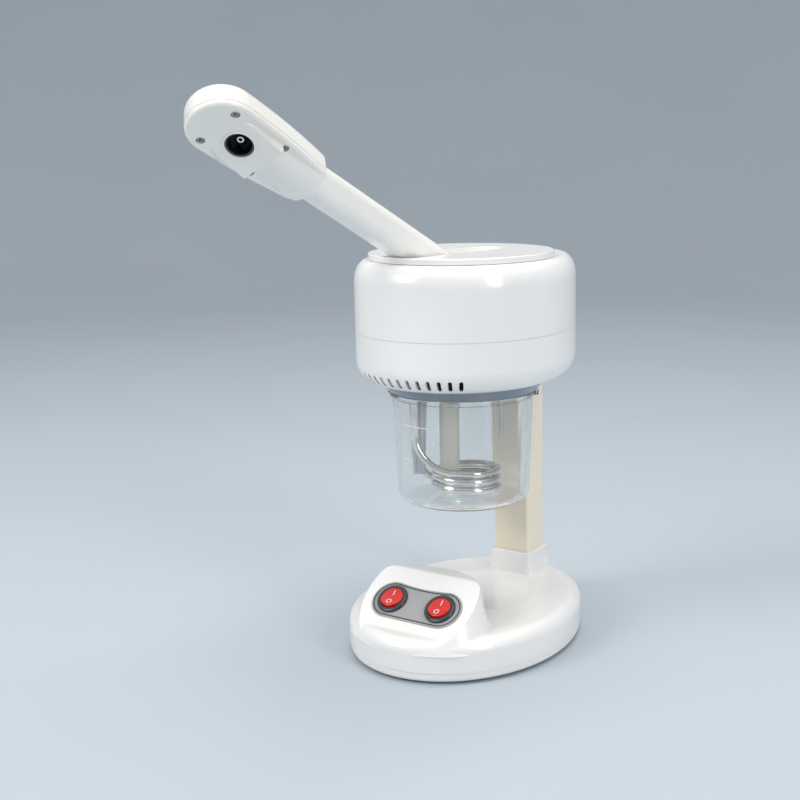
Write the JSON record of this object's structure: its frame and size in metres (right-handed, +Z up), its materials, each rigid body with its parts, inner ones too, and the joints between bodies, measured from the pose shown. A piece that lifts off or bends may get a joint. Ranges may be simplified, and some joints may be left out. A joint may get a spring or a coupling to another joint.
{
  "type": "facial steamer",
  "caption": "Table-top facial steamer with a clear water jar under a round head, a tilting swivel steam arm and an oval base with rocker switches.",
  "frame": {"origin": "on the floor plane, under the middle of the overall bounding box in the rest pose; the axis shared by the head, the turntable and the water jar stands 59.3 mm behind it, at x = 0, y = +0.0593", "axes": "+Z up; -Y towards the control panel (front); +Y towards the post (back); +X to the right of someone behind the object looking forwards along +Y"},
  "size_m": [0.166, 0.3385, 0.418],
  "materials": {
    "white_shell": "gloss",
    "arm_white": "gloss",
    "post_cream": "semi-gloss",
    "panel_grey": "satin",
    "bezel_black": "gloss",
    "rocker_red": "gloss",
    "ring_grey": "satin",
    "jar_clear": "clear",
    "chrome_tube": "polished",
    "steel": "brushed",
    "screw_steel": "zinc plated",
    "cream_plastic": "satin",
    "silicone": "matte",
    "foot_rubber": "matte",
    "board_green": "satin",
    "lamp_glass": "clear"
  },
  "bodies": {
    "stand": {"base_plate": "white_shell", "base_screws": "screw_steel", "base_shell": "white_shell", "board_screws": "screw_steel", "boiler_lid": "cream_plastic", "control_board": "board_green", "control_panel": "panel_grey", "head_lower_housing": "white_shell", "head_screws": "screw_steel", "head_upper_housing": "white_shell", "heater_coil": "chrome_tube", "heater_nuts": "chrome_tube", "jar_ring": "ring_grey", "left_switch_housing": "bezel_black", "level_probe": "steel", "lid_screws": "screw_steel", "mains_inlet": "bezel_black", "post_foot_bracket": "steel", "post_head_bracket": "steel", "post_screws": "screw_steel", "post_tube": "post_cream", "probe_bush": "cream_plastic", "return_pipe": "cream_plastic", "right_switch_housing": "bezel_black", "rubber_feet": "foot_rubber", "steam_hose": "silicone", "steam_port": "cream_plastic", "thermostat": "steel", "thermostat_guard": "steel"},
    "jar_seat": {"jar_seal": "silicone"},
    "jar": {"jar": "jar_clear"},
    "left_rocker": {"left_rocker": "rocker_red"},
    "right_rocker": {"right_rocker": "rocker_red"},
    "turntable": {"turntable": "white_shell", "turntable_retainer": "white_shell", "retainer_screws": "screw_steel", "pivot_pin": "steel", "pin_clips": "steel"},
    "arm": {"arm_tube": "arm_white", "pivot_bushes": "cream_plastic", "arm_end_plug": "arm_white", "arm_steam_duct": "silicone"},
    "nozzle": {"nozzle_upper_shell": "arm_white", "nozzle_lower_cover": "arm_white", "nozzle_screws": "screw_steel", "nozzle_cup": "bezel_black", "nozzle_jet": "chrome_tube", "swivel_spigot": "cream_plastic", "ozone_lamp": "lamp_glass"}
  },
  "joints": [
    {"name": "turntable_swivel", "type": "hinge", "parent": "stand", "child": "turntable", "pos_m": [0, 0.0593, 0.2985], "axis": [0, 0, 1], "range_deg": [-48, 72]},
    {"name": "arm_tilt", "type": "hinge", "parent": "turntable", "child": "arm", "pos_m": [0, 0.0593, 0.2775], "axis": [-0.9781, 0.2079, 0], "range_deg": [0, 60]},
    {"name": "nozzle_swivel", "type": "hinge", "parent": "arm", "child": "nozzle", "pos_m": [-0.02986, -0.08117, 0.35875], "axis": [-0.181, -0.8513, 0.4924], "range_deg": [-123, 57]},
    {"name": "left_rocker_tilt", "type": "hinge", "parent": "stand", "child": "left_rocker", "pos_m": [-0.021, -0.00917, 0.04665], "axis": [1, 0, 0], "range_deg": [0, 14]},
    {"name": "right_rocker_tilt", "type": "hinge", "parent": "stand", "child": "right_rocker", "pos_m": [0.021, -0.00917, 0.04665], "axis": [1, 0, 0], "range_deg": [0, 14]},
    {"name": "jar_twist", "type": "hinge", "parent": "stand", "child": "jar_seat", "pos_m": [0, 0.0593, 0.2], "axis": [0, 0, 1], "range_deg": [-40, 0]},
    {"name": "jar_drop", "type": "slide", "parent": "jar_seat", "child": "jar", "axis": [0, 0, -1], "range_m": [0, 0.046]}
  ]
}
